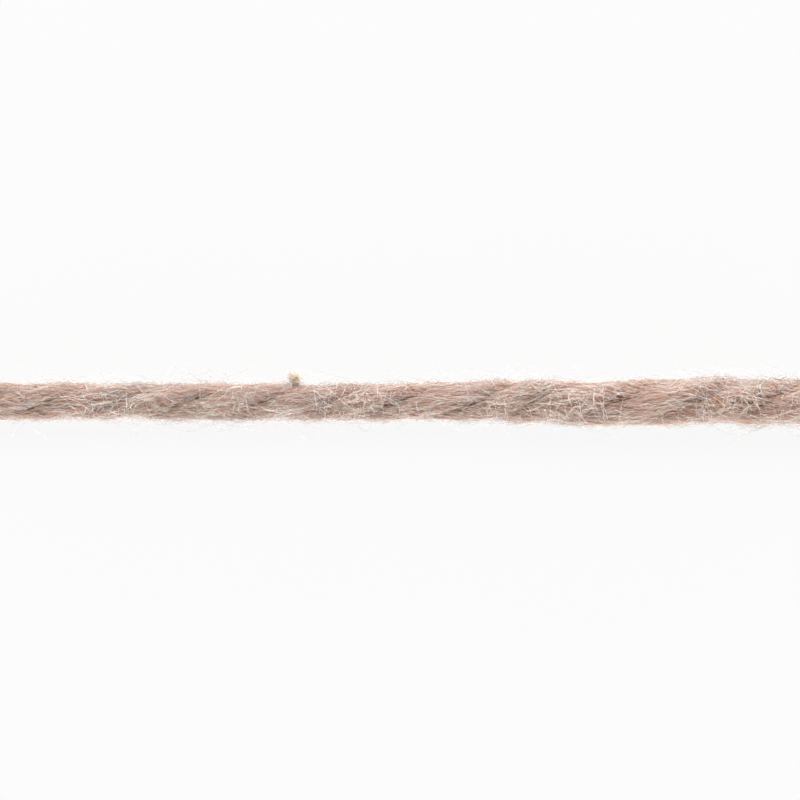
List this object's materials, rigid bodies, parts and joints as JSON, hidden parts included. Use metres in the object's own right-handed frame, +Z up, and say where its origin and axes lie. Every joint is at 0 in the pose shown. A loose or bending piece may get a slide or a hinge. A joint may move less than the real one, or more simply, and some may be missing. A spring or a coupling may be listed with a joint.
{
  "type": "knitting yarn strand",
  "caption": "Short cut length of soft plied knitting yarn in dusty taupe, lying straight, with a fuzzy surface and bare cut ends.",
  "frame": {"origin": "on the surface that the strand lies on, under the middle of its length and width", "axes": "+X along the strand towards its thicker end, +Y to the side that the small tuft stands out of, +Z up"},
  "size_m": [0.0558, 0.0035, 0.0031],
  "materials": {
    "yarn": "matt, soft fibre with a fuzzy halo, dusty taupe with a pink cast"
  },
  "bodies": {
    "root": {"yarn_strand": "yarn"}
  },
  "joints": []
}
